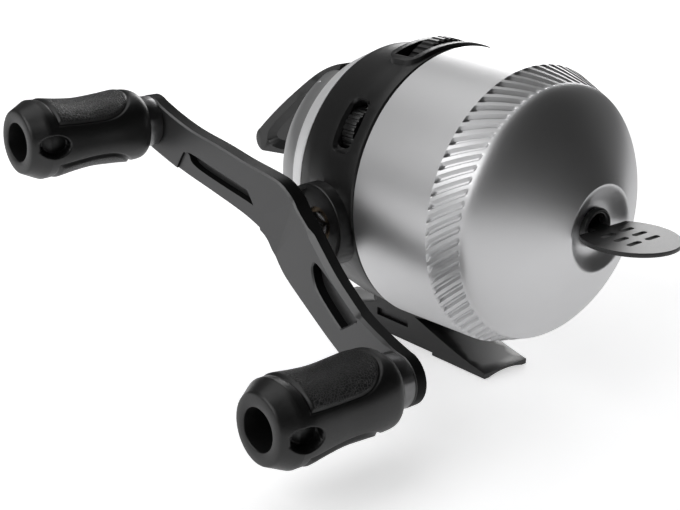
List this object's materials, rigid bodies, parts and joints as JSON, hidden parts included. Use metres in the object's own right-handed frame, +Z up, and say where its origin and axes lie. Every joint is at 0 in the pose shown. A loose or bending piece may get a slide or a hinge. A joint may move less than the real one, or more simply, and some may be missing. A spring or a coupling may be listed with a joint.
{
  "type": "spincast fishing reel",
  "caption": "Closed-face spincast fishing reel with a domed metal front cover, thumb button, paddle knobs on a double crank arm, drag dial, alert switch and a reel-seat foot.",
  "frame": {"origin": "centre of the flat underside of the foot, straight below the crank axis", "axes": "+Z up, away from the rod; -Y forward, along the line out of the nose; -X towards the crank handle"},
  "size_m": [0.126, 0.1299, 0.0779],
  "materials": {
    "silver_cover": "satin metallic",
    "rear_two_tone": "satin",
    "black_body": "satin",
    "black_trim": "satin",
    "arm_metal": "anodised satin",
    "soft_grip": "soft touch",
    "bright_metal": "satin",
    "guide_ring": "polished",
    "tag_plastic": "satin",
    "steel": "machined",
    "brass": "machined",
    "zinc": "die cast",
    "white_plastic": "moulded",
    "line": "clear nylon",
    "felt": "felt",
    "seal_rubber": "matt"
  },
  "bodies": {
    "root": {"frame": "black_body", "front_cover": "silver_cover", "line_guide": "guide_ring", "cover_seal": "seal_rubber", "reel_foot": "black_body", "foot_screws": "steel", "rear_cover": "rear_two_tone", "rear_cover_screws": "steel", "button_pin": "steel", "deck_plate": "zinc", "deck_screws": "steel", "pinion_bearings": "brass", "spool_clip": "steel", "crank_bushings": "brass", "anti_reverse_clutch": "steel", "clutch_rollers": "steel", "crank_port_cap": "black_trim", "shaft_spring": "steel"},
    "crank": {"crankshaft": "steel", "drive_gear": "zinc", "handle_arm": "arm_metal", "handle_screw": "steel", "knob_posts": "steel", "knob_collars": "bright_metal", "knob_screws": "steel"},
    "rear_knob": {"knob_rear": "soft_grip"},
    "front_knob": {"knob_front": "soft_grip"},
    "pinion": {"pinion_gear": "brass"},
    "spinner": {"center_shaft": "steel", "shaft_clip": "steel", "spinner_head": "zinc", "spinner_nut": "brass"},
    "pin_left": {"pickup_pin_left": "steel"},
    "pin_right": {"pickup_pin_right": "steel"},
    "spool_body": {"spool": "white_plastic", "line_winding": "line"},
    "button": {"thumb_button": "black_trim"},
    "dial": {"drag_dial": "black_trim"},
    "drag_plunger": {"drag_screw": "brass", "drag_pad": "felt"},
    "alert": {"alert_switch": "black_trim", "alert_clicker": "white_plastic"},
    "tag": {"line_tag": "tag_plastic"}
  },
  "joints": [
    {"name": "crank_turn", "type": "hinge", "parent": "root", "child": "crank", "pos_m": [-0.03, 0, 0.03625], "axis": [1, 0, 0], "continuous": true},
    {"name": "rear_knob_spin", "type": "hinge", "parent": "crank", "child": "rear_knob", "pos_m": [-0.07, 0.0453, 0.05492], "axis": [1, 0, 0], "continuous": true},
    {"name": "front_knob_spin", "type": "hinge", "parent": "crank", "child": "front_knob", "pos_m": [-0.07, -0.0453, 0.01758], "axis": [1, 0, 0], "continuous": true},
    {"name": "pinion_turn", "type": "hinge", "parent": "root", "child": "pinion", "pos_m": [0, -0.03, 0.0431], "axis": [0, 1, 0], "continuous": true},
    {"name": "spinner_slide", "type": "slide", "parent": "pinion", "child": "spinner", "axis": [0, -1, 0], "range_m": [0, 0.00385], "deforming": ["shaft_spring"]},
    {"name": "left_pin_retract", "type": "slide", "parent": "spinner", "child": "pin_left", "axis": [1, 0, 0], "range_m": [0, 0.0026]},
    {"name": "right_pin_retract", "type": "slide", "parent": "spinner", "child": "pin_right", "axis": [-1, 0, 0], "range_m": [0, 0.0026]},
    {"name": "spool_turn", "type": "hinge", "parent": "root", "child": "spool_body", "pos_m": [0, -0.03, 0.0431], "axis": [0, 1, 0], "continuous": true},
    {"name": "thumb_press", "type": "hinge", "parent": "root", "child": "button", "pos_m": [0, 0.0205, 0.064], "axis": [-1, 0, 0], "range_deg": [0, 10.02]},
    {"name": "drag_dial_turn", "type": "hinge", "parent": "root", "child": "dial", "pos_m": [0, -0.0043, 0.0649], "axis": [0, -1, 0], "range_deg": [-150, 150]},
    {"name": "drag_plunger_feed", "type": "slide", "parent": "root", "child": "drag_plunger", "axis": [0, -1, 0], "range_m": [-0.00046, 0.00046]},
    {"name": "alert_switch_turn", "type": "hinge", "parent": "root", "child": "alert", "pos_m": [-0.02193, -0.0026, 0.05707], "axis": [0, -1, 0], "range_deg": [0, 24]},
    {"name": "line_tag_pull", "type": "slide", "parent": "root", "child": "tag", "axis": [0, -1, 0], "range_m": [0, 0.03]}
  ],
  "couplings": [
    {"joint": "pinion_turn", "follows": "crank_turn", "ratio": -3.6},
    {"joint": "thumb_press", "follows": "spinner_slide", "rad_per_m": 45.333},
    {"joint": "left_pin_retract", "follows": "spinner_slide", "ratio": 0.62338},
    {"joint": "right_pin_retract", "follows": "spinner_slide", "ratio": 0.62338},
    {"joint": "drag_plunger_feed", "follows": "drag_dial_turn", "m_per_rad": 0.00017189}
  ]
}
